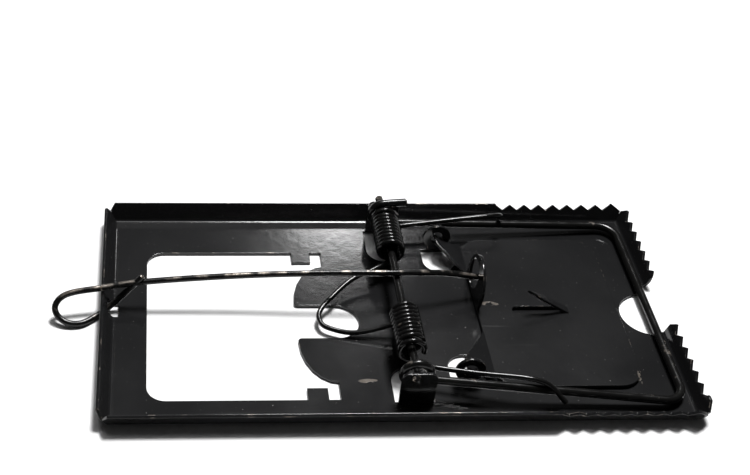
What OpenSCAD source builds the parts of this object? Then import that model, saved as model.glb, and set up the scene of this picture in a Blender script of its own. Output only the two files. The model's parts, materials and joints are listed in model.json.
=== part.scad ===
// Snap mouse trap: a stamped steel tray with toothed walls, a U-shaped hammer on an axle pin,
// a double torsion spring, a treadle with a sear tab and a latch rod.
// X runs along the length towards the jaw end, Y across it, Z up. The origin lies on the
// underside of the tray's floor, in the middle of its outline.

/* [Tray] */
// Length of the floor between the fold lines of the end walls
floor_l = 138; // [130:1:150]
// Width of the floor between the fold lines of the side walls
floor_w = 72.6; // [70:0.2:76]
// Thickness of the stamped sheet
sheet = 0.8; // [0.6:0.1:0.9]
// Height of the walls above the floor's upper face
wall_rise = 4.5; // [3:0.1:6]
// Lean of the side walls and the plain end wall away from the vertical, in degrees
wall_flare = 26; // [15:1:35]
// Lean of the toothed end walls away from the vertical, in degrees
end_flare = 20; // [15:1:35]
// Radius of the window's corners
window_r = 4.5; // [2:0.5:6]

/* [Teeth] */
// Distance from one tooth to the next
tooth_pitch = 4; // [3.5:0.1:4.5]
// Depth of the teeth
tooth_depth = 1.5; // [0.8:0.1:1.6]
// Number of teeth on each side wall
side_teeth = 8; // [4:1:9]
// Number of teeth on each half of the end wall
end_teeth = 6; // [4:1:6]

/* [Axle and spring] */
// Height of the axle above the tray's underside
axle_z = 8.5; // [8:0.1:9.5]
// Diameter of the axle pin
axle_d = 2; // [1.6:0.1:2.2]
// Diameter of the spring wire
spring_d = 1.3; // [1:0.1:1.4]
// Outside diameter of the spring's coils
coil_od = 7.4; // [6.8:0.1:7.6]
// Turns in each coil, with the leg's own turn
coil_turns = 10; // [8:1:10]

/* [Hammer and latch rod] */
// Diameter of the hammer wire
hammer_d = 2.1; // [1.8:0.1:2.2]
// Reach of the hammer from the axle to the middle of its bar
hammer_reach = 64.4; // [62:0.2:65]
// Diameter of the latch rod
rod_d = 1.6; // [1.4:0.1:1.8]

/* [Treadle] */
// Length of the treadle plate, from its waist to its free edge
treadle_l = 36.2; // [32:0.2:37]
// Width of the treadle plate
treadle_w = 54.4; // [50:0.2:55]
// Height of the treadle's pivot above the tray's underside
pivot_z = 5; // [4.6:0.1:5.2]

/* [Hidden] */
$fn = 48;

steel_black = "#1b1b1d";
wire_black = "#242426";

half_l = floor_l / 2;
half_w = floor_w / 2;
wall_slant = wall_rise / cos(wall_flare);
wall_out = wall_slant * sin(wall_flare);
end_out = wall_slant * sin(end_flare);
// The toothed edges lie a little lower than the plain ones
tooth_drop = 0.3;
// Walls are mitred up to a shoulder and cut back above it
corner_cut = 2;
shoulder = wall_slant - corner_cut;
lean = shoulder / wall_slant;
plain_corner = [wall_out * lean, wall_out - corner_cut];
side_jaw_corner = [end_out * lean, -1.6];
end_jaw_corner = [wall_out * lean, -0.8];
open_end = [0, -corner_cut];
root = 2 * sheet;
// The stamping's cut-outs sit a little nearer to one side than the middle
cut_y = -3.4;

// Window and the openings beside it
window_x0 = -half_l + 8.6;
window_x1 = -14.8;
window_far = 23;
window_near = -30;
notch_r = 5.9;
notch_x = -13.4;
fin_tip_x = -23.3;
fin_w = 14;
fin_r = 1;
tab_x0 = -22.6;
tab_x1 = -17.6;
tab_reach = 3.8;

// Half-round finger cut-out at the jaw end
thumb_r = 7.7;
thumb_x = 67.6;
thumb_y = -1.1;
far_end_y = 9.2;
near_end_y = -7.8;
far_end_r = 3.4;
far_end_lift = 1.8;

// Axle, lugs and the slots that the lugs were bent out of
axle_x = 2.2;
lug_x = axle_x + 0.4;
lug_w = 8.4;
lug_top = 10.6;
lug_r = 1.6;
far_lug_y = 32;
near_lug_y = -30.9;
lug_slot_inner = 19.5;
stub_gap = 1.2;
stub_rise = 2.4;
axle_hole_d = axle_d + 0.12;

// Treadle pivot
pivot_x = 16.2;
eyelet_y = 24.3;
eyelet_od = 7.3;
eyelet_hole = 3.4;
eyelet_slot_inner = 15.5;
eyelet_slot_w = 8.4;

// Spring
coil_r = (coil_od - spring_d) / 2;
coil_pitch = spring_d + 0.05;
far_turn_y = 15.5;
near_turn_y = -9.3;
coil_foot_z = axle_z - coil_r;
leg_gap = 0.1;
// Sweep of a leg's own turn, which stops short of the wire that leaves at the foot
leg_turn = 290;

// Hammer
eye_r = 3.2;
bar_z = 2.4;
bar_x = axle_x + hammer_reach;
bar_bend_r = 5;
far_eye_y = 30.3;
near_eye_y = -29.3;
far_bar_y = 32.4;
near_bar_y = -33.2;
far_arm_angle = -90;
near_arm_angle = -36;

// Latch rod and the hole that its loop passes through
rod_pivot_x = -half_l - 2.7;
rod_pivot_z = 3.6;
rod_orbit = 2.8;
rod_hole_y0 = -1.4;
rod_hole_y1 = 3.2;
rod_hole_floor = 1.4;
rod_hole_top = 3.1;

// Treadle
plate_z = 1.1;
plate_x0 = 22.8;
plate_x1 = plate_x0 + treadle_l;
plate_r = 6;
far_ear_y = 12.3;
near_ear_y = -8;
ear_w = 2.2;
ear_reach = 2.6;
barb_x = 46.2;
barb_y = -0.6;
barb_l = 13;
barb_w = 2.6;
barb_lift = 31;
sear_x = plate_x0 - 0.1;
sear_y = 6.6;
sear_r = 7.5;
sear_lift = 2.8;
sear_lean = 6;
sear_hole_r = 3.9;
sear_hole_y = 2.2;
sear_hole_z = 1.4;

knuckle = 1.03;

// ---- helpers ----

// Straight round bar from a to b
module bar(a, b, d) {
    run = b - a;
    flat = norm([run[0], run[1]]);
    translate(a)
        rotate([0, atan2(flat, run[2]), atan2(run[1], run[0])])
            cylinder(h = norm(run), d = d);
}

// Round wire through a list of points, with a rounded knuckle at each inner bend
module wire(points, d) {
    for (i = [0 : len(points) - 2]) bar(points[i], points[i + 1], d);
    for (i = [1 : len(points) - 2]) translate(points[i]) sphere(d = d * knuckle);
}

// Points of a smooth curve through hand-set ones
function curve_point(p, i, t) =
    let (a = p[max(i - 1, 0)], b = p[i], c = p[i + 1], d = p[min(i + 2, len(p) - 1)])
    0.5 * (2 * b + (c - a) * t + (2 * a - 5 * b + 4 * c - d) * t * t
        + (3 * b - a - 3 * c + d) * t * t * t);
function curve(p, steps) = concat(
    [for (i = [0 : len(p) - 2], k = [0 : steps - 1]) curve_point(p, i, k / steps)],
    [p[len(p) - 1]]
);

// Round wire swept along a path that nowhere runs along the given upright
module curved_wire(path, d, upright = [0, 0, 1]) {
    sides = 12;
    last = len(path) - 1;
    rings = [for (i = [0 : last]) let (
        along = path[min(i + 1, last)] - path[max(i - 1, 0)],
        forward = along / norm(along),
        across = cross(forward, upright),
        side = across / norm(across),
        top = cross(side, forward)
    ) for (k = [0 : sides - 1])
        path[i] + d / 2 * (side * cos(360 * k / sides) + top * sin(360 * k / sides))];
    walls = [for (i = [0 : last - 1], k = [0 : sides - 1]) let (
        a = i * sides + k,
        b = i * sides + (k + 1) % sides
    ) each [[a, b, b + sides], [a, b + sides, a + sides]]];
    polyhedron(rings, concat(
        walls,
        [[for (k = [sides - 1 : -1 : 0]) k]],
        [[for (k = [0 : sides - 1]) last * sides + k]]
    ));
}

// Ring of round wire about the Y axis
module ring(radius, d) {
    rotate([90, 0, 0]) rotate_extrude() translate([radius, 0]) circle(d = d);
}

// Rectangle with round corners
module round_rect(x0, y0, x1, y1, r) {
    for (x = [x0 + r, x1 - r], y = [y0 + r, y1 - r]) translate([x, y]) circle(r = r);
    translate([x0 + r, y0]) square([x1 - x0 - 2 * r, y1 - y0]);
    translate([x0, y0 + r]) square([x1 - x0, y1 - y0 - 2 * r]);
}

// Points of a circular arc
function arc(cx, cy, r, a0, a1, steps) =
    [for (i = [0 : steps]) let (a = a0 + (a1 - a0) * i / steps) [cx + r * cos(a), cy + r * sin(a)]];

// ---- tray ----

module window_cut() {
    round_rect(window_x0, window_near, tab_x0 + window_r, window_far, window_r);
    translate([tab_x0, window_near]) square([window_x1 - tab_x0, window_far - window_near]);
    translate([notch_x, cut_y]) circle(r = notch_r);
    translate([window_x1 - 1, cut_y - notch_r]) square([notch_x - window_x1 + 1, 2 * notch_r]);
}

// Pointed fin that reaches into the window, with a bowed outer edge and a round tip
module fin(side) {
    inner = cut_y + side * notch_r;
    tip = [fin_tip_x + fin_r, inner + side * fin_r];
    translate(tip) circle(r = fin_r);
    bow = arc(window_x1 + 0.6, tip[1], 1, 180, 90, 6);
    polygon(concat(
        [[window_x1 + 1, inner], [tip[0], inner], tip],
        [for (p = bow) [
            window_x1 + 0.6 + (p[0] - window_x1 - 0.6) * (window_x1 + 0.6 - fin_tip_x),
            tip[1] + (p[1] - tip[1]) * side * fin_w
        ]],
        [[window_x1 + 1, tip[1] + side * fin_w]]
    ));
}

// Small locating tab on the window's edge
module window_tab(y, side) {
    translate([tab_x0, min(y, y - side * tab_reach)]) square([tab_x1 - tab_x0, tab_reach]);
}

// Slot that a lug or eyelet was bent out of, round at its inner end
module lug_slot(x, w, inner, outer) {
    inner_mid = inner + w / 2;
    translate([x, inner_mid]) circle(d = w);
    translate([x - w / 2, inner_mid]) square([w, outer - inner_mid]);
}

module lug_slots(lug_y) {
    lug_slot(lug_x - 0.1, lug_w + 1, lug_slot_inner, lug_y);
    lug_slot(pivot_x + 0.3, eyelet_slot_w, eyelet_slot_inner, eyelet_y);
}

module tray_outline() {
    difference() {
        translate([-half_l, -half_w]) square([floor_l, floor_w]);
        difference() {
            window_cut();
            for (side = [-1, 1]) fin(side);
            window_tab(window_far, 1);
            window_tab(window_near, -1);
        }
        translate([thumb_x, thumb_y]) circle(r = thumb_r);
        lug_slots(far_lug_y);
        mirror([0, 1]) lug_slots(-near_lug_y);
        translate([-half_l - 1, rod_hole_y0])
            square([rod_hole_floor + 1, rod_hole_y1 - rod_hole_y0]);
    }
}

module tray_floor() {
    color(steel_black) linear_extrude(sheet) tray_outline();
}

// A wall folded up along +Y from 0 to length and leaning towards +X. The children are its flat
// outline; the fold's inner corner is the line x = 0, z = sheet.
module wall(length, flare) {
    reach = 4 * sheet;
    color(steel_black) difference() {
        translate([0, 0, sheet]) rotate([0, flare, 0]) rotate([90, 0, 90])
            linear_extrude(sheet) children();
        translate([-reach, -reach, -2 * reach]) cube([2 * reach, length + 2 * reach, 2 * reach]);
        translate([-reach, -reach, -reach]) cube([reach, length + 2 * reach, reach + sheet]);
    }
}

// Flat outline of a wall. Start and finish give how far its two ends run out past the fold,
// first at the shoulder and then at the top edge.
module wall_outline(length, start, finish) {
    translate([0, -root]) square([length, root + shoulder]);
    polygon([
        [0, 0], [length, 0], [length + finish[0], shoulder],
        [length + finish[1], wall_slant], [-start[1], wall_slant], [-start[0], shoulder]
    ]);
}

// The same outline with a row of teeth cut into its top
module toothed_outline(length, start, finish, teeth, teeth_from) {
    tip = wall_slant - tooth_drop;
    difference() {
        wall_outline(length, start, finish);
        translate([teeth_from, tip]) square([teeth * tooth_pitch, corner_cut]);
        for (i = [0 : teeth - 1])
            translate([teeth_from + tooth_pitch * (i + 0.5), tip + 0.01])
                polygon([[-tooth_pitch / 2, 0], [0, -tooth_depth], [tooth_pitch / 2, 0]]);
    }
}

module side_wall_shape() {
    toothed_outline(floor_l, plain_corner, side_jaw_corner,
        side_teeth, floor_l - 2 - side_teeth * tooth_pitch);
}

module left_wall() {
    difference() {
        translate([-half_l, half_w, 0]) rotate(180)
            wall(floor_w, wall_flare) wall_outline(floor_w, plain_corner, plain_corner);
        translate([-half_l - 2 * sheet, rod_hole_y0, -1])
            cube([4 * sheet, rod_hole_y1 - rod_hole_y0, rod_hole_top + 1]);
    }
}

module far_wall() {
    translate([half_l, half_w, 0]) rotate(90)
        wall(floor_l, wall_flare) translate([floor_l, 0]) mirror([1, 0]) side_wall_shape();
}

module near_wall() {
    translate([-half_l, -half_w, 0]) rotate(-90) wall(floor_l, wall_flare) side_wall_shape();
}

// The end wall is in two halves with the finger cut-out between them. The far half ends in a
// round, the near half in a slope that runs down from its last tooth.
module far_end_wall() {
    length = half_w - far_end_y;
    translate([half_l, far_end_y, 0]) wall(length, end_flare) intersection() {
        toothed_outline(length, [0, 0], end_jaw_corner, end_teeth, 1.5);
        union() {
            translate([far_end_r, far_end_lift]) circle(r = far_end_r);
            translate([far_end_r, -root]) square([length, 2 * wall_slant]);
        }
    }
}

module near_end_wall() {
    length = half_w + near_end_y;
    translate([half_l, -half_w, 0]) wall(length, end_flare)
        toothed_outline(length, end_jaw_corner, open_end,
            end_teeth, length - corner_cut - end_teeth * tooth_pitch);
}

// Upright lug for the axle; the foot's bend joins the floor at the slot's outer end
module axle_lug(y, side) {
    color(steel_black) translate([0, y + (side > 0 ? sheet : 0), 0]) rotate([90, 0, 0])
        linear_extrude(sheet) difference() {
            union() {
                round_rect(lug_x - lug_w / 2, sheet, lug_x + lug_w / 2, lug_top, lug_r);
                translate([lug_x - lug_w / 2, sheet]) square([lug_w, lug_top / 2]);
            }
            translate([axle_x, axle_z]) circle(d = axle_hole_d);
        }
}

module far_axle_lug() { axle_lug(far_lug_y, 1); }
module near_axle_lug() { axle_lug(near_lug_y, -1); }

// Upright eyelet for the treadle's ear
module treadle_eyelet(side) {
    neck = 4.2;
    color(steel_black) translate([pivot_x, side * eyelet_y, 0]) difference() {
        union() {
            translate([0, sheet / 2 * side, pivot_z]) rotate([90, 0, 0])
                cylinder(h = sheet, d = eyelet_od, center = true);
            translate([-neck / 2, min(0, side * sheet), sheet])
                cube([neck, sheet, pivot_z - sheet - eyelet_hole / 2 - 0.4]);
        }
        rotate([90, 0, 0]) translate([0, pivot_z, -5]) cylinder(h = 10, d = eyelet_hole);
    }
}

module far_treadle_eyelet() { treadle_eyelet(1); }
module near_treadle_eyelet() { treadle_eyelet(-1); }

// ---- axle and spring ----

// Straight pin whose ends are turned up outside the lugs
module axle_pin() {
    far_y = far_lug_y + sheet + stub_gap;
    near_y = near_lug_y - sheet - stub_gap;
    color(wire_black) wire([
        [axle_x - 1, near_y, axle_z + stub_rise], [axle_x, near_y, axle_z],
        [axle_x, far_y, axle_z], [axle_x - 1, far_y, axle_z + stub_rise]
    ], axle_d);
}

// Turns of a close-wound coil, each touching the next
module coil_rings(y, count) {
    color(wire_black) for (i = [0 : count - 1])
        translate([axle_x, y + i * coil_pitch, axle_z]) ring(coil_r, spring_d + 0.1);
}

// The coils without their outermost turns, which move with the legs
module far_spring_coil() { coil_rings(far_turn_y, coil_turns - 1); }
module near_spring_coil() { coil_rings(near_turn_y - (coil_turns - 2) * coil_pitch, coil_turns - 1); }

// Loop that joins the coils' inner ends and bears on the floor
module spring_centre_loop() {
    color(wire_black) curved_wire(curve([
        [axle_x, far_turn_y - coil_pitch, coil_foot_z],
        [-3, 11, 5], [-8.6, 8, 4.4], [-15, 1.4, 3.3], [-17.4, -2, 2.7], [-17.6, -4.6, 2.3],
        [-16, -6.8, 2], [-10.3, -8.8, 2], [-4, -8.8, 3.2],
        [axle_x, near_turn_y + coil_pitch, coil_foot_z]
    ], 4), spring_d);
}

// ---- hammer ----

module hammer_eye(y) {
    color(wire_black) translate([axle_x, y, axle_z]) ring(eye_r, hammer_d);
}

// The far eye's wire ends in a short tail above the axle
module far_hammer_eye() {
    hammer_eye(far_eye_y);
    tail_z = axle_z + eye_r;
    color(wire_black)
        bar([axle_x, far_eye_y, tail_z], [axle_x + 6, far_eye_y + 0.7, tail_z], hammer_d - 0.1);
}

module near_hammer_eye() { hammer_eye(near_eye_y); }

// Straight arm from a point on the eye's ring to the bend of the cross bar
module hammer_arm(eye_y, angle, end_y) {
    root = [axle_x + eye_r * cos(angle), eye_y, axle_z + eye_r * sin(angle)];
    color(wire_black) bar(root, [bar_x - bar_bend_r, end_y, bar_z], hammer_d);
}

module far_hammer_arm() { hammer_arm(far_eye_y, far_arm_angle, far_bar_y); }
module near_hammer_arm() { hammer_arm(near_eye_y, near_arm_angle, near_bar_y); }

// Cross bar with a quarter bend at each end
module hammer_bar() {
    color(wire_black) {
        bar([bar_x, near_bar_y + bar_bend_r, bar_z], [bar_x, far_bar_y - bar_bend_r, bar_z], hammer_d);
        translate([bar_x - bar_bend_r, far_bar_y - bar_bend_r, bar_z])
            rotate_extrude(angle = 90) translate([bar_bend_r, 0]) circle(d = hammer_d);
        translate([bar_x - bar_bend_r, near_bar_y + bar_bend_r, bar_z])
            rotate(-90) rotate_extrude(angle = 90) translate([bar_bend_r, 0]) circle(d = hammer_d);
    }
}

// Outermost turn of a coil, whose wire leaves at the foot and runs on as the leg
module leg_wire(turn_y, leg) {
    steps = 24;
    turn = [for (i = [0 : steps - 1]) let (a = -90 - leg_turn * (1 - i / steps))
        [axle_x + coil_r * cos(a), turn_y, axle_z + coil_r * sin(a)]];
    color(wire_black) curved_wire(
        concat(turn, curve(concat([[axle_x, turn_y, coil_foot_z]], leg), 4)), spring_d, [0, 1, 0]);
}

// Outer ends of the spring, hooked over the hammer's arms
module far_spring_leg() {
    leg_wire(far_turn_y + (coil_turns - 1) * coil_pitch + leg_gap,
        [[12, 28.5, 6.3], [32.2, 30.1, 7.8], [34.6, 32.6, 5]]);
}

module near_spring_leg() {
    leg_wire(near_turn_y - (coil_turns - 1) * coil_pitch - leg_gap,
        [[7, -24.9, 6.2], [17, -27.3, 6.5], [31.6, -30.5, 6.9], [37.4, -34.2, 3.4]]);
}

// ---- latch rod ----

// Rod that arches over the axle and ends in the sear tab's hole
module latch_rod() {
    color(wire_black) curved_wire(curve([
        [rod_pivot_x, 3, rod_pivot_z + rod_orbit], [-60.4, 4, 7.6], [-37.2, 4.4, 9.2],
        [-15.4, 4, 10.3], [1.4, 3.8, 10.5], [14.4, 5.7, 8.8], [23.2, 6.8, 6.5], [25.2, 7, 6.1]
    ], 4), rod_d);
}

// Loop outside the end wall: back under the wall's edge and in through the hole at the fold
module latch_rod_loop() {
    hole_angle = -51;
    color(wire_black) curved_wire(curve([
        [rod_pivot_x, 3, rod_pivot_z + rod_orbit],
        [-78.4, 1.8, 6.1], [-81.6, 0.9, 5.1], [-83, -0.8, 3.6], [-82.2, -2.6, 2.1],
        [-79.6, -4, 1.1], [-76, -3.6, 0.85],
        [rod_pivot_x, 0, rod_pivot_z - rod_orbit],
        [rod_pivot_x + rod_orbit * cos(hole_angle), 1.4, rod_pivot_z + rod_orbit * sin(hole_angle)],
        [-66, 3, 4.6], [-61.4, 4.4, 9.1]
    ], 4), rod_d);
}

// ---- treadle ----

module treadle_plate() {
    half = treadle_w / 2;
    color(steel_black) translate([0, 0, plate_z]) linear_extrude(sheet) difference() {
        union() {
            round_rect(plate_x0, -half, plate_x1, half, plate_r);
            translate([plate_x0, near_ear_y]) square([plate_r, far_ear_y - near_ear_y]);
        }
        barb_slot();
    }
}

// Slot left in the plate where the bait barb was cut free
module barb_slot() {
    translate([barb_x - barb_l, barb_y]) circle(d = barb_w);
    translate([barb_x - barb_l, barb_y - barb_w / 2]) square([barb_l, barb_w]);
}

// Pointed tongue bent up out of its slot
module bait_barb() {
    half = barb_w / 2 - 0.1;
    color(steel_black) translate([barb_x, barb_y, plate_z + sheet])
        rotate([0, barb_lift, 0]) rotate(180) translate([0, 0, -sheet]) linear_extrude(sheet)
            polygon([[0, -half], [barb_l * 0.6, -half * 0.8], [barb_l, -0.1], [barb_l, 0.1],
                [barb_l * 0.6, half * 0.8], [0, half]]);
}

// Ear that slopes up from the plate's corner and turns out through the eyelet's hole
module treadle_ear(side, root_y) {
    rise = pivot_z - plate_z - sheet / 2;
    run = plate_x0 - pivot_x;
    slope = atan(rise / run);
    length = norm([rise, run]);
    inner = eyelet_y - 0.4;
    color(steel_black) mirror([0, side < 0 ? 1 : 0, 0]) translate([plate_x0, 0, plate_z])
        rotate([0, slope, 0]) linear_extrude(sheet) polygon([
            [0, root_y], [0, inner + 1.8], [-length * 0.4, inner],
            [-length + ear_w / 2, inner], [-length + ear_w / 2, inner + ear_reach],
            [-length - ear_w / 2, inner + ear_reach], [-length - ear_w / 2, inner - 2.6]
        ]);
}

module far_treadle_ear() { treadle_ear(1, far_ear_y); }
module near_treadle_ear() { treadle_ear(-1, -near_ear_y); }

// Upright round tab, with a hole off its middle that holds the latch rod's tip
module sear_tab() {
    color(steel_black) translate([sear_x, sear_y, plate_z + sheet]) rotate([0, sear_lean, 0])
        rotate([90, 0, 90]) linear_extrude(sheet) difference() {
            translate([0, sear_lift]) circle(r = sear_r);
            translate([sear_hole_y, sear_lift + sear_hole_z]) circle(r = sear_hole_r);
            translate([-2 * sear_r, -2 * sear_r]) square([4 * sear_r, 2 * sear_r]);
        }
}

tray_floor();
left_wall();
far_wall();
near_wall();
far_end_wall();
near_end_wall();
far_axle_lug();
near_axle_lug();
far_treadle_eyelet();
near_treadle_eyelet();
axle_pin();
far_spring_coil();
near_spring_coil();
spring_centre_loop();
hammer_bar();
far_hammer_arm();
near_hammer_arm();
far_hammer_eye();
near_hammer_eye();
far_spring_leg();
near_spring_leg();
latch_rod();
latch_rod_loop();
treadle_plate();
far_treadle_ear();
near_treadle_ear();
sear_tab();
bait_barb();
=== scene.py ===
"""Looks of the snap mouse trap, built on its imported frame.

Lengths are in millimetres until a mesh is made. Sheet pieces take their outlines from the flat
faces of the CAD nodes; wires are swept along routes between points of the frame.
"""
import json
import math

import bmesh
import bpy
from mathutils import Matrix, Vector


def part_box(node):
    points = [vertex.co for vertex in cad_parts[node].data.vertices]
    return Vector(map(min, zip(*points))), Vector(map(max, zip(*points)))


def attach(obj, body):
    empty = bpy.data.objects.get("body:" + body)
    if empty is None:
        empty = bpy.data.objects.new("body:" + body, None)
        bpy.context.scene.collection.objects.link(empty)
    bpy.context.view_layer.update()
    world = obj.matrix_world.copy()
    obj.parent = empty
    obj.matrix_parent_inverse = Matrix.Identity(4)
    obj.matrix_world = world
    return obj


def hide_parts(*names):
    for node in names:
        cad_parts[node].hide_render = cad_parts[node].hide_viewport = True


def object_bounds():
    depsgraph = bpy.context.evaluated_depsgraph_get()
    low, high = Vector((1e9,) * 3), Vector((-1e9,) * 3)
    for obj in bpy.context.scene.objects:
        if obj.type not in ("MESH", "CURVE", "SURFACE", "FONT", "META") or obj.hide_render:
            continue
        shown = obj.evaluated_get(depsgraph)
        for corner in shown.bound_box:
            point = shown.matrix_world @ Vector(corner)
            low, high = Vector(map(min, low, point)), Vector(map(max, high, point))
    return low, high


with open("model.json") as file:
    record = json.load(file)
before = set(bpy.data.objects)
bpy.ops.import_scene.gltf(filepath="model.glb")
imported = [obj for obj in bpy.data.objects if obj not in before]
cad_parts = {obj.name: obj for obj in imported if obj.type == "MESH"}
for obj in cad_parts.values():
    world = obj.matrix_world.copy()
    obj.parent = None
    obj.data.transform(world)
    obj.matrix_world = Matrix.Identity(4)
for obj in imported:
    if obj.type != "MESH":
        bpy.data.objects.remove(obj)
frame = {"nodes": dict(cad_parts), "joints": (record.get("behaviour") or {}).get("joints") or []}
cad_low, cad_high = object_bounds()

MM = 0.001
UP = Vector((0, 0, 1))
FAR = Vector((0, 1, 0))
RIGHT = Vector((1, 0, 0))


# ---- what the frame gives ----

def low(node):
    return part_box(node)[0] / MM


def high(node):
    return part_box(node)[1] / MM


def pivot(joint_name):
    joint = next(j for j in frame["joints"] if j["name"] == joint_name)
    return Vector(joint["pos_m"]) / MM


AXLE = pivot("hammer_hinge")
ROD_PIVOT = pivot("rod_hinge")
SHEET = high("tray_floor").z
SPRING_D = 1.3
# The CAD's coils are stacked rings, thicker than the wire by this much so that they join
RING_EXTRA = 0.1
RING_R = (SPRING_D + RING_EXTRA) / 2
COIL_R = high("far_spring_coil").z - AXLE.z - RING_R
COIL_FOOT = AXLE - COIL_R * UP
HAMMER_D = high("hammer_bar").z - low("hammer_bar").z
BAR_MIDDLE = (high("hammer_bar") + low("hammer_bar")) / 2
BAR_X = high("hammer_bar").x - HAMMER_D / 2
EYE_R = high("near_hammer_eye").z - AXLE.z - HAMMER_D / 2
FAR_EYE_Y = low("far_hammer_eye").y + HAMMER_D / 2
NEAR_EYE_Y = high("near_hammer_eye").y - HAMMER_D / 2
ROD_D = 1.6
AXLE_D = 2.0


# ---- sizes of the rounding ----

FOLD_R = 0.9
FOLD_STEPS = 6
# Each folded wall laps the floor by a tongue, lifted a little so that the two faces don't coincide
TONGUE = 0.5
LAP_LIFT = 0.004
RIM_R = 0.16
RIM_STEPS = 3
BAR_BEND_R = 5.0
AXLE_BEND_R = 1.2
# Share of a wire's diameter by which its cut ends are rounded
END_SOFTNESS = 0.16
# Points of an outline or a path nearer to the next than this are dropped
OUTLINE_GAP = 0.1
PATH_GAP = 0.02


# ---- meshes ----

def new_piece(name, mesh):
    """Turns a bmesh in metres into an object."""
    data = bpy.data.meshes.new(name)
    mesh.to_mesh(data)
    mesh.free()
    made = bpy.data.objects.new(name, data)
    bpy.context.scene.collection.objects.link(made)
    return made


def apply_modifiers(piece):
    graph = bpy.context.evaluated_depsgraph_get()
    data = bpy.data.meshes.new_from_object(piece.evaluated_get(graph))
    piece.modifiers.clear()
    piece.data = data


def shade(piece, sharp_from=40):
    """Smooth shading that keeps flat faces flat."""
    piece.data.shade_smooth()
    piece.data.set_sharp_from_angle(angle=math.radians(sharp_from))
    weighted = piece.modifiers.new("normals", "WEIGHTED_NORMAL")
    weighted.keep_sharp = True
    apply_modifiers(piece)


def dress(piece, material, slot, body, *nodes):
    """Gives a finished piece its material and its body, and hides the CAD nodes it stands for; the slot is
    not used.
    """
    piece.data.materials.clear()
    piece.data.materials.append(material)
    piece.data.polygons.foreach_set("material_index", [0] * len(piece.data.polygons))
    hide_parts(*nodes)
    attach(piece, body)


# ---- sheet pieces ----

def face_place(node, looks):
    """The place of a CAD sheet's largest flat face that looks a given way, with its normal as Z."""
    groups = {}
    for polygon in frame["nodes"][node].data.polygons:
        roughly_that_way = polygon.normal.dot(looks) > 0.3
        if roughly_that_way:
            key = tuple(round(c, 2) for c in polygon.normal)
            groups.setdefault(key, []).append(polygon)
    faces = max(groups.values(), key=lambda group: sum(f.area for f in group))
    normal = sum((f.normal * f.area for f in faces), Vector()).normalized()
    lies_flat = abs(normal.z) > 0.8
    along = FAR if lies_flat else UP
    along = (along - normal * along.dot(normal)).normalized()
    place = Matrix((along.cross(normal), along, normal)).transposed().to_4x4()
    place.translation = faces[0].center
    return place


def face_outlines(node, place):
    """Closed outlines of the CAD face that lies in the XY plane of a place."""
    mesh = bmesh.new()
    mesh.from_mesh(frame["nodes"][node].data)
    mesh.transform(place.inverted())
    bmesh.ops.remove_doubles(mesh, verts=mesh.verts, dist=2e-6)
    mesh.normal_update()
    facing = {f for f in mesh.faces if f.normal.z > 0.99 and abs(f.calc_center_median().z) < 2e-5}
    following = {}
    for face in facing:
        for loop in face.loops:
            if sum(f in facing for f in loop.edge.link_faces) == 1:
                following[loop.vert] = loop.link_loop_next.vert
    outlines = []
    while following:
        start, here = following.popitem()
        outline = [start.co.xy]
        while here != start:
            outline.append(here.co.xy)
            here = following.pop(here)
        outline = [p / MM for p in outline]
        pairs = zip(outline, outline[1:] + outline[:1])
        outlines.append([p for p, q in pairs if (p - q).length > OUTLINE_GAP])
    mesh.free()
    return outlines


def flat_mesh(outlines):
    """A flat face with holes, looking up."""
    mesh = bmesh.new()
    edges = []
    for outline in outlines:
        verts = [mesh.verts.new((p.x * MM, p.y * MM, 0)) for p in outline]
        edges += [mesh.edges.new((a, b)) for a, b in zip(verts, verts[1:] + verts[:1])]
    bmesh.ops.triangle_fill(mesh, use_beauty=True, edges=edges, normal=UP)
    bmesh.ops.dissolve_limit(mesh, angle_limit=0.01, verts=mesh.verts, edges=mesh.edges)
    for face in mesh.faces:
        if face.normal.z < 0:
            face.normal_flip()
    return mesh


def bend_foot(mesh, angle):
    """Turns the lowest edge of a flat mesh into a rounded fold, with a tongue that laps the floor."""
    foot = min(v.co.y for v in mesh.verts)
    start = foot + FOLD_R * math.tan(angle / 2) * MM
    arc = FOLD_R * angle * MM
    for vert in mesh.verts:
        if vert.co.y < foot + 1e-5:
            vert.co.y = start - arc - TONGUE * MM
    for step in range(FOLD_STEPS + 1):
        height = start - arc * step / FOLD_STEPS
        everything = list(mesh.verts) + list(mesh.edges) + list(mesh.faces)
        bmesh.ops.bisect_plane(mesh, geom=everything, plane_co=(0, height, 0), plane_no=FAR)
    for vert in mesh.verts:
        beyond = start - vert.co.y
        if beyond > 1e-7:
            turn = min(beyond, arc) / (FOLD_R * MM)
            flat = max(beyond - arc, 0)
            lift = LAP_LIFT * MM * turn / angle
            vert.co.y = start - FOLD_R * MM * math.sin(turn) - flat * math.cos(angle)
            vert.co.z = FOLD_R * MM * (1 - math.cos(turn)) + flat * math.sin(angle)
            vert.co.y += lift * math.sin(angle)
            vert.co.z += lift * math.cos(angle)


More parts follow.
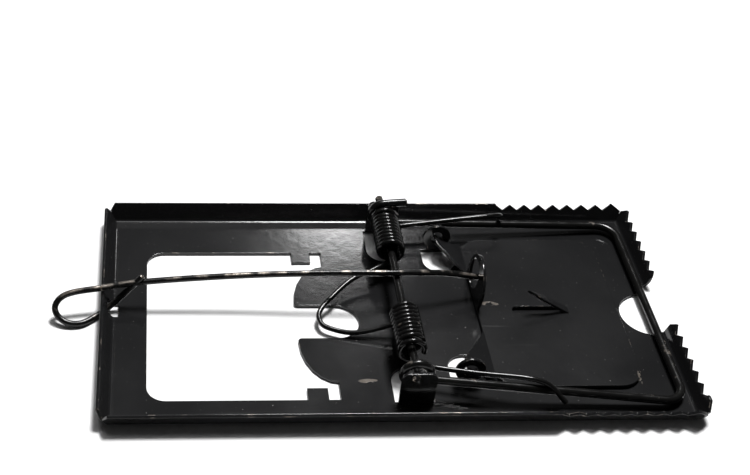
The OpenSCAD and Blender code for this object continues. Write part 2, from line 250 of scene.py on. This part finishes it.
def sheet_piece(node, body, looks, material, folded=False, edit=None):
    """A stamped piece as thick as the sheet, with rounded rims and, if folded, a rounded fold."""
    place = face_place(node, looks)
    outlines = face_outlines(node, place)
    if edit:
        outlines = [[edit(p) for p in outline] for outline in outlines]
    mesh = flat_mesh(outlines)
    if folded:
        bend_foot(mesh, math.acos(place.col[2].z))
    piece = new_piece(node + "_sheet", mesh)
    piece.data.materials.append(material)
    piece.data.materials.append(material)
    solid = piece.modifiers.new("thickness", "SOLIDIFY")
    solid.thickness = SHEET * MM
    solid.offset = -1
    solid.use_even_offset = True
    rims = piece.modifiers.new("rims", "BEVEL")
    rims.width = RIM_R * MM
    rims.segments = RIM_STEPS
    rims.limit_method = "ANGLE"
    rims.angle_limit = math.radians(50)
    rims.loop_slide = False
    rims.use_clamp_overlap = False
    rims.material = 1
    apply_modifiers(piece)
    worn = [float(p.material_index) for p in piece.data.polygons]
    piece.data.attributes.new("rim", "FLOAT", "FACE").data.foreach_set("value", worn)
    shade(piece)
    piece.data.transform(place)
    dress(piece, material, "black_sheet", body, node)


# ---- wires ----

def curve_through(points, steps=12):
    """A Catmull-Rom curve through given points."""
    p = [Vector(point) for point in points]
    p = [2 * p[0] - p[1]] + p + [2 * p[-1] - p[-2]]
    path = []
    for a, b, c, d in zip(p, p[1:], p[2:], p[3:]):
        for i in range(steps):
            t = i / steps
            path.append(0.5 * (2 * b + (c - a) * t + (2 * a - 5 * b + 4 * c - d) * t ** 2
                               + (3 * b - a - 3 * c + d) * t ** 3))
    return path + [p[-2]]


def turns(start, end, y_start, y_end, radius, steps_per_turn=40):
    """A helix about the axle between two angles in degrees."""
    steps = round(abs(end - start) / 360 * steps_per_turn)
    path = []
    for i in range(steps + 1):
        share = i / steps
        angle = math.radians(start + (end - start) * share)
        spoke = Vector((math.cos(angle), 0, math.sin(angle)))
        path.append(Vector((AXLE.x, y_start + (y_end - y_start) * share, AXLE.z)) + radius * spoke)
    return path


def round_corners(points, radius, steps=8):
    """A path of straight runs joined by arcs."""
    points = [Vector(point) for point in points]
    path = [points[0]]
    for before, corner, after in zip(points, points[1:], points[2:]):
        back = (before - corner).normalized()
        ahead = (after - corner).normalized()
        half = back.angle(ahead) / 2
        reach = radius / math.tan(half)
        middle = corner + (back + ahead).normalized() * radius / math.sin(half)
        first = (corner + back * reach - middle).normalized()
        last = (corner + ahead * reach - middle).normalized()
        path += [middle + radius * first.slerp(last, i / steps) for i in range(steps + 1)]
    return path + [points[-1]]


def wire_piece(name, path, diameter, material, slot, body, *nodes, sides=20):
    """A round wire swept along a path, with softened cut ends."""
    path = [a for a, b in zip(path, path[1:]) if (b - a).length > PATH_GAP] + [path[-1]]
    last = len(path) - 1
    tangents = [(path[min(i + 1, last)] - path[max(i - 1, 0)]).normalized() for i in range(last + 1)]
    soft = END_SOFTNESS * diameter
    radius = diameter / 2
    rings = [(path[0], tangents[0], radius - soft), (path[0] + soft * tangents[0], tangents[0], radius)]
    rings += [(path[i], tangents[i], radius) for i in range(1, last)
              if (path[i] - path[0]).length > 2 * soft and (path[i] - path[-1]).length > 2 * soft]
    rings += [(path[-1] - soft * tangents[-1], tangents[-1], radius),
              (path[-1], tangents[-1], radius - soft)]
    mesh = bmesh.new()
    loops = []
    side = tangents[0].orthogonal().normalized()
    for centre, tangent, ring_r in rings:
        side = (side - tangent * side.dot(tangent)).normalized()
        other = tangent.cross(side)
        angles = [2 * math.pi * k / sides for k in range(sides)]
        spokes = [side * math.cos(a) + other * math.sin(a) for a in angles]
        loops.append([mesh.verts.new((centre + ring_r * spoke) * MM) for spoke in spokes])
    for a, b in zip(loops, loops[1:]):
        for k in range(sides):
            mesh.faces.new((a[k], a[(k + 1) % sides], b[(k + 1) % sides], b[k]))
    mesh.faces.new(loops[0])
    mesh.faces.new(loops[-1])
    bmesh.ops.recalc_face_normals(mesh, faces=mesh.faces)
    mesh.faces.ensure_lookup_table()
    side_faces = sides * (len(loops) - 1)
    at_ends = [float(i < sides or i >= side_faces - sides) for i in range(len(mesh.faces))]
    piece = new_piece(name, mesh)
    piece.data.attributes.new("rim", "FLOAT", "FACE").data.foreach_set("value", at_ends)
    shade(piece)
    dress(piece, material, slot, body, *nodes)


# ---- materials ----

class Graph:
    """A small helper for building a material's nodes."""

    def __init__(self, name):
        self.material = bpy.data.materials.new(name)
        self.material.use_nodes = True
        self.nodes = self.material.node_tree.nodes
        self.links = self.material.node_tree.links
        self.shader = self.nodes["Principled BSDF"]
        self.place = self.nodes.new("ShaderNodeTexCoord")

    def put(self, socket, value):
        if isinstance(value, bpy.types.NodeSocket):
            self.links.new(value, socket)
        else:
            socket.default_value = value

    def shine(self, **values):
        for name, value in values.items():
            self.put(self.shader.inputs[name.replace("_", " ")], value)

    def noise(self, scale, detail=3.0, stretch=(1, 1, 1), rough=0.55):
        mapping = self.nodes.new("ShaderNodeMapping")
        mapping.inputs["Scale"].default_value = stretch
        self.links.new(self.place.outputs["Object"], mapping.inputs["Vector"])
        node = self.nodes.new("ShaderNodeTexNoise")
        node.inputs["Scale"].default_value = scale
        node.inputs["Detail"].default_value = detail
        node.inputs["Roughness"].default_value = rough
        self.links.new(mapping.outputs["Vector"], node.inputs["Vector"])
        return node.outputs["Fac"]

    def ramp(self, value, start, end, low_out=0.0, high_out=1.0):
        node = self.nodes.new("ShaderNodeMapRange")
        node.interpolation_type = "SMOOTHSTEP"
        self.put(node.inputs["Value"], value)
        node.inputs["From Min"].default_value = start
        node.inputs["From Max"].default_value = end
        node.inputs["To Min"].default_value = low_out
        node.inputs["To Max"].default_value = high_out
        return node.outputs["Result"]

    def math(self, operation, a, b):
        node = self.nodes.new("ShaderNodeMath")
        node.operation = operation
        node.use_clamp = operation == "ADD"
        self.put(node.inputs[0], a)
        self.put(node.inputs[1], b)
        return node.outputs[0]

    def blend(self, share, a, b):
        """A colour between a and b. Sockets 6 and 7 are the mix node's colour inputs, and 2 its output."""
        node = self.nodes.new("ShaderNodeMix")
        node.data_type = "RGBA"
        self.put(node.inputs[0], share)
        self.put(node.inputs[6], a)
        self.put(node.inputs[7], b)
        return node.outputs[2]

    def attribute(self, name):
        node = self.nodes.new("ShaderNodeAttribute")
        node.attribute_name = name
        return node.outputs["Fac"]

    def spot(self, centre, reach):
        """1 inside an oval of the given half-sizes, fading to 0 at its edge."""
        mapping = self.nodes.new("ShaderNodeMapping")
        mapping.inputs["Scale"].default_value = [1 / (r * MM) for r in reach]
        mapping.inputs["Location"].default_value = [-c / r for c, r in zip(centre, reach)]
        self.links.new(self.place.outputs["Object"], mapping.inputs["Vector"])
        length = self.nodes.new("ShaderNodeVectorMath")
        length.operation = "LENGTH"
        self.links.new(mapping.outputs["Vector"], length.inputs[0])
        return self.ramp(length.outputs["Value"], 0.55, 1.0, 1.0, 0.0)

    def looking_up(self):
        """How far the surface looks up, from -1 to 1, in the piece's own frame."""
        split = self.nodes.new("ShaderNodeSeparateXYZ")
        self.links.new(self.place.outputs["Normal"], split.inputs[0])
        return split.outputs["Z"]

    def bump(self, value, depth):
        node = self.nodes.new("ShaderNodeBump")
        node.inputs["Strength"].default_value = 1.0
        node.inputs["Distance"].default_value = depth * MM
        self.links.new(value, node.inputs["Height"])
        self.links.new(node.outputs["Normal"], self.shader.inputs["Normal"])


# Middles and half-sizes of the paint chips that the photo shows: two on the treadle, one on the floor
CHIPS = [
    ((26.7, 1.8, 1.9), (2.8, 0.9, 2.0)),
    ((58.3, -24.2, 1.9), (0.7, 2.3, 2.0)),
    ((-7.6, -24.1, 0.8), (2.8, 0.8, 2.0)),
]
STEEL = (0.42, 0.40, 0.37, 1)
RUST = (0.12, 0.075, 0.045, 1)
DUST = (0.20, 0.19, 0.18, 1)
SHEET_BLACKS = ((0.0065, 0.0066, 0.0072, 1), (0.0125, 0.0125, 0.0128, 1))
WIRE_BLACKS = ((0.003, 0.003, 0.003, 1), (0.009, 0.0088, 0.0085, 1))


def black_sheet_material():
    """Glossy black paint on sheet steel: worn rims, a few chips, dust and faint scratches."""
    g = Graph("black_sheet_paint")
    cloud = g.noise(28, 4)
    rim = g.math("MULTIPLY", g.attribute("rim"), g.ramp(g.noise(330, 5), 0.57, 0.68))
    chips = g.ramp(g.noise(230, 6, rough=0.62), 0.735, 0.75)
    bare = g.math("ADD", rim, chips)
    flaked = g.ramp(g.noise(620, 5), 0.47, 0.54)
    for centre, reach in CHIPS:
        bare = g.math("ADD", bare, g.math("MULTIPLY", flaked, g.spot(centre, reach)))
    dust = g.ramp(g.noise(1500, 2), 0.71, 0.80, 0.0, 0.35)
    scratches = g.ramp(g.noise(420, 3, (0.06, 1, 1)), 0.70, 0.76, 0.0, 0.3)
    paint = g.blend(cloud, *SHEET_BLACKS)
    paint = g.blend(dust, paint, DUST)
    metal = g.blend(g.noise(700, 4), RUST, STEEL)
    rough = g.math("ADD", g.ramp(cloud, 0.3, 0.7, 0.10, 0.17), g.math("MULTIPLY", dust, 0.6))
    rough = g.math("ADD", rough, g.math("MULTIPLY", scratches, 0.25))
    g.shine(Base_Color=g.blend(bare, paint, metal), Roughness=rough)
    g.shine(Metallic=g.math("MULTIPLY", bare, 0.7), Specular_IOR_Level=0.5)
    g.bump(g.math("SUBTRACT", g.noise(420, 3), g.math("MULTIPLY", bare, 0.5)), 0.02)
    return g.material


def wire_material(name, shine_low, shine_high, top_wear_and_highlight, wear_scale):
    """Black finish on wire, rubbed through to the steel at its cut ends; along its top, lighter steel that
    is partly wear and partly a painted highlight.
    """
    g = Graph(name)
    patches = g.noise(wear_scale, 5)
    # The top of the wire in its own frame turns to lighter steel: partly rubbed wear, partly a painted
    # highlight from the light above
    top = g.ramp(g.looking_up(), 0.55, 0.95)
    rubbed_and_highlit = g.math("MULTIPLY", top, g.ramp(patches, 0.62 - top_wear_and_highlight, 0.78 - top_wear_and_highlight))
    ends = g.math("MULTIPLY", g.attribute("rim"), g.ramp(g.noise(500, 4), 0.40, 0.55))
    bare = g.math("ADD", rubbed_and_highlit, ends)
    paint = g.blend(g.noise(120, 4), *WIRE_BLACKS)
    metal = g.blend(g.noise(800, 3), RUST, STEEL)
    g.shine(Base_Color=g.blend(bare, paint, metal), Metallic=g.math("MULTIPLY", bare, 0.85))
    g.shine(Roughness=g.ramp(g.noise(260, 4), 0.3, 0.7, shine_low, shine_high))
    g.shine(Specular_IOR_Level=0.32)
    g.bump(g.noise(900, 4, (0.4, 1, 1)), 0.02)
    return g.material


sheet_paint = black_sheet_material()
# The fourth figure widens the lighter top of each wire, which is partly wear and partly painted highlight;
# the rod gets the most
hammer_finish = wire_material("hammer_wire_finish", 0.15, 0.26, -0.01, 260)
rod_finish = wire_material("rod_wire_finish", 0.17, 0.30, 0.15, 200)
spring_finish = wire_material("spring_wire_finish", 0.09, 0.17, -0.02, 420)


# ---- tray ----

FLOOR_EDGE = high("tray_floor")


def fold_inset(wall, looks):
    """How far a wall's rounded fold begins inside the floor's outline."""
    return FOLD_R * math.tan(math.acos(face_place(wall, looks).col[2].z) / 2)


SIDE_INSET = fold_inset("far_wall", -FAR)
END_INSET = fold_inset("far_end_wall", -RIGHT)


def floor_edit_for(place):
    """Draws the floor's outline back to where the rounded folds of the walls begin."""
    middle = place.translation.xy / MM

    def edit(point):
        x = max(-FLOOR_EDGE.x + SIDE_INSET, min(FLOOR_EDGE.x - END_INSET, point.x + middle.x))
        y = max(-FLOOR_EDGE.y + SIDE_INSET, min(FLOOR_EDGE.y - SIDE_INSET, point.y + middle.y))
        return Vector((x, y)) - middle

    return edit


sheet_piece("tray_floor", "base", UP, sheet_paint, edit=floor_edit_for(face_place("tray_floor", UP)))
sheet_piece("far_wall", "base", -FAR, sheet_paint, folded=True)
sheet_piece("near_wall", "base", FAR, sheet_paint, folded=True)
sheet_piece("left_wall", "base", RIGHT, sheet_paint, folded=True)
sheet_piece("far_end_wall", "base", -RIGHT, sheet_paint, folded=True)
sheet_piece("near_end_wall", "base", -RIGHT, sheet_paint, folded=True)
for end, outwards in (("far", FAR), ("near", -FAR)):
    sheet_piece(end + "_axle_lug", "base", outwards, sheet_paint)
    sheet_piece(end + "_treadle_eyelet", "base", outwards, sheet_paint)
    sheet_piece(end + "_treadle_ear", "treadle", UP, sheet_paint)
sheet_piece("treadle_plate", "treadle", UP, sheet_paint)
sheet_piece("sear_tab", "treadle", RIGHT, sheet_paint)
sheet_piece("bait_barb", "treadle", UP, sheet_paint)


# ---- axle and spring ----

far_end = high("axle_pin").y - AXLE_D / 2
near_end = low("axle_pin").y + AXLE_D / 2
near_bend = Vector((AXLE.x, near_end, AXLE.z))
far_bend = Vector((AXLE.x, far_end, AXLE.z))
# Both ends of the axle turn up by this much outside the lugs
TURNED_UP = Vector((-1.0, 0, 2.4))
axle_path = [near_bend + TURNED_UP, near_bend, far_bend, far_bend + TURNED_UP]
wire_piece("axle_pin_wire", round_corners(axle_path, AXLE_BEND_R), AXLE_D, hammer_finish,
           "black_wire", "base", "axle_pin")

COIL_TURNS = 9
# Sweep of the turn that goes round with a leg, which stops short of the wire leaving at the foot
LEG_TURN = 290
coils = {
    "far": (low("far_spring_coil").y + RING_R - SPRING_D, high("far_spring_coil").y - RING_R),
    "near": (high("near_spring_coil").y - RING_R + SPRING_D, low("near_spring_coil").y + RING_R),
}
for end, (y_start, y_end) in coils.items():
    path = turns(-90, -90 + 360 * COIL_TURNS, y_start, y_end, COIL_R)
    wire_piece(end + "_spring_coil_wire", path, SPRING_D, spring_finish,
               "black_spring", "base", end + "_spring_coil")

centre_loop_route = [
    (AXLE.x, coils["far"][0], COIL_FOOT.z), (-3, 11, 5), (-8.6, 8, 4.4), (-15, 1.4, 3.3),
    (-17.4, -2, 2.7), (-17.6, -4.6, 2.3), (-16, -6.8, 2), (-10.3, -8.8, 2), (-4, -8.8, 3.2),
    (AXLE.x, coils["near"][0], COIL_FOOT.z),
]
wire_piece("spring_centre_loop_wire", curve_through(centre_loop_route), SPRING_D, spring_finish,
           "black_spring", "base", "spring_centre_loop")

legs = {
    "far": (low("far_spring_leg").y + SPRING_D / 2,
            [(12, 28.5, 6.3), (32.2, 30.1, 7.8), (34.6, 32.6, 5)]),
    "near": (high("near_spring_leg").y - SPRING_D / 2,
             [(7, -24.9, 6.2), (17, -27.3, 6.5), (31.6, -30.5, 6.9), (37.4, -34.2, 3.4)]),
}
for end, (turn_y, leg_route) in legs.items():
    foot = (AXLE.x, turn_y, COIL_FOOT.z)
    path = turns(-90 - LEG_TURN, -90, turn_y, turn_y, COIL_R)[:-1] + curve_through([foot] + leg_route)
    wire_piece(end + "_spring_leg_wire", path, SPRING_D, spring_finish,
               "black_spring", "hammer", end + "_spring_leg")


# ---- hammer ----

# Angles about the axle at which the arms leave their eyes and the far eye's tail begins
FAR_ARM_ANGLE = -90
NEAR_ARM_ANGLE = -36
TAIL_ANGLE = 90
# The far eye stops short of its own tail, and the near eye nearly closes
FAR_EYE_TURN = 270
NEAR_EYE_TURN = 345


def eye_point(y, angle):
    """The middle of an eye's wire at an angle about the axle."""
    spoke = Vector((math.cos(math.radians(angle)), 0, math.sin(math.radians(angle))))
    return Vector((AXLE.x, y, AXLE.z)) + EYE_R * spoke


far_corner = Vector((BAR_X, high("hammer_bar").y - HAMMER_D / 2, BAR_MIDDLE.z))
near_corner = Vector((BAR_X, low("hammer_bar").y + HAMMER_D / 2, BAR_MIDDLE.z))
hammer_path = [
    eye_point(FAR_EYE_Y, FAR_ARM_ANGLE), far_corner,
    near_corner, eye_point(NEAR_EYE_Y, NEAR_ARM_ANGLE),
]
wire_piece("hammer_wire", round_corners(hammer_path, BAR_BEND_R, 16), HAMMER_D, hammer_finish,
           "black_wire", "hammer", "hammer_bar", "far_hammer_arm", "near_hammer_arm")

tail = Vector((high("far_hammer_eye").x, high("far_hammer_eye").y - HAMMER_D / 2, AXLE.z + EYE_R))
far_turn = turns(TAIL_ANGLE, TAIL_ANGLE + FAR_EYE_TURN, FAR_EYE_Y, FAR_EYE_Y, EYE_R)
wire_piece("far_hammer_eye_wire", [tail] + far_turn, HAMMER_D, hammer_finish,
           "black_wire", "hammer", "far_hammer_eye")
near_turn = turns(NEAR_ARM_ANGLE, NEAR_ARM_ANGLE + NEAR_EYE_TURN, NEAR_EYE_Y, NEAR_EYE_Y, EYE_R)
wire_piece("near_hammer_eye_wire", near_turn, HAMMER_D, hammer_finish,
           "black_wire", "hammer", "near_hammer_eye")


# ---- latch rod ----

# Radius about the rod's pivot on which its wire passes through the end wall's hole
ROD_ORBIT = 2.8
rod_start = ROD_PIVOT + Vector((0, 3, ROD_ORBIT))
rod_route = [
    rod_start, (-60.4, 4, 7.6), (-37.2, 4.4, 9.2), (-15.4, 4, 10.3), (1.4, 3.8, 10.5),
    (14.4, 5.7, 8.8), (23.2, 6.8, 6.5), (25.2, 7, 6.1),
]
wire_piece("latch_rod_wire", curve_through(rod_route), ROD_D, rod_finish,
           "black_wire", "rod", "latch_rod")
in_hole = math.radians(-51)
finger_loop_route = [
    rod_start, (-78.4, 1.8, 6.1), (-81.6, 0.9, 5.1), (-83, -0.8, 3.6), (-82.2, -2.6, 2.1),
    (-79.6, -4, 1.1), (-76, -3.6, 0.85), ROD_PIVOT - ROD_ORBIT * UP,
    ROD_PIVOT + Vector((ROD_ORBIT * math.cos(in_hole), 1.4, ROD_ORBIT * math.sin(in_hole))),
    (-66, 3, 4.6), (-61.4, 4.4, 9.1),
]
wire_piece("latch_rod_loop_wire", curve_through(finger_loop_route), ROD_D, rod_finish,
           "black_wire", "rod", "latch_rod_loop")


# ---- stage, light and camera ----

def pale_floor():
    """A large pale floor just under the trap."""
    mesh = bmesh.new()
    bmesh.ops.create_grid(mesh, x_segments=1, y_segments=1, size=3.0)
    ground = new_piece("pale_floor", mesh)
    ground.location.z = min(cad_low.z, 0) - 0.02 * MM
    material = bpy.data.materials.new("pale_floor_paint")
    material.use_nodes = True
    shader = material.node_tree.nodes["Principled BSDF"]
    shader.inputs["Base Color"].default_value = (0.93, 0.93, 0.93, 1)
    shader.inputs["Roughness"].default_value = 0.9
    ground.data.materials.append(material)


def soft_light(name, place, size, power):
    """A square light aimed at the frame's origin."""
    light = bpy.data.lights.new(name, "AREA")
    light.size = size
    light.energy = power
    made = bpy.data.objects.new(name, light)
    made.location = place
    made.rotation_euler = (-Vector(place)).to_track_quat("-Z", "Y").to_euler()
    bpy.context.scene.collection.objects.link(made)


def sky(strength):
    world = bpy.data.worlds.new("studio")
    world.use_nodes = True
    world.node_tree.nodes["Background"].inputs["Color"].default_value = (1, 1, 1, 1)
    world.node_tree.nodes["Background"].inputs["Strength"].default_value = strength
    bpy.context.scene.world = world


# The camera fitted to the photo's straight edges. Angles are in degrees.
CAMERA_HEADING = -4.82
CAMERA_TILT = 50.42
CAMERA_ROLL = 3.09
CAMERA_PLACE = Vector((-58.48, -241.15, 225.23))
CAMERA_LENS = 63.12
CAMERA_SHIFT = 0.18


def photo_camera():
    """The photo's view: heading, tilt and roll of the lens axis, which misses the picture's middle."""
    camera = bpy.data.cameras.new("photo_camera")
    camera.lens = CAMERA_LENS
    camera.shift_x = CAMERA_SHIFT
    made = bpy.data.objects.new("photo_camera", camera)
    turn = Matrix.Rotation(math.radians(CAMERA_HEADING), 4, "Z")
    turn = turn @ Matrix.Rotation(math.radians(CAMERA_TILT), 4, "X")
    turn = turn @ Matrix.Rotation(math.radians(CAMERA_ROLL), 4, "Z")
    made.matrix_world = Matrix.Translation(CAMERA_PLACE * MM) @ turn
    bpy.context.scene.collection.objects.link(made)
    bpy.context.scene.camera = made


pale_floor()
sky(0.02)
soft_light("key_light", (0.16, 0.37, 0.94), size=0.24, power=15.0)
soft_light("top_light", (-0.1, 0.25, 1.0), size=0.5, power=1.6)
soft_light("backdrop_light", (0.05, 1.15, 0.98), size=0.95, power=0.20)
soft_light("back_strip", (0.22, 1.30, 0.98), size=0.13, power=0.9)
photo_camera()
bpy.context.scene.view_settings.view_transform = "Standard"
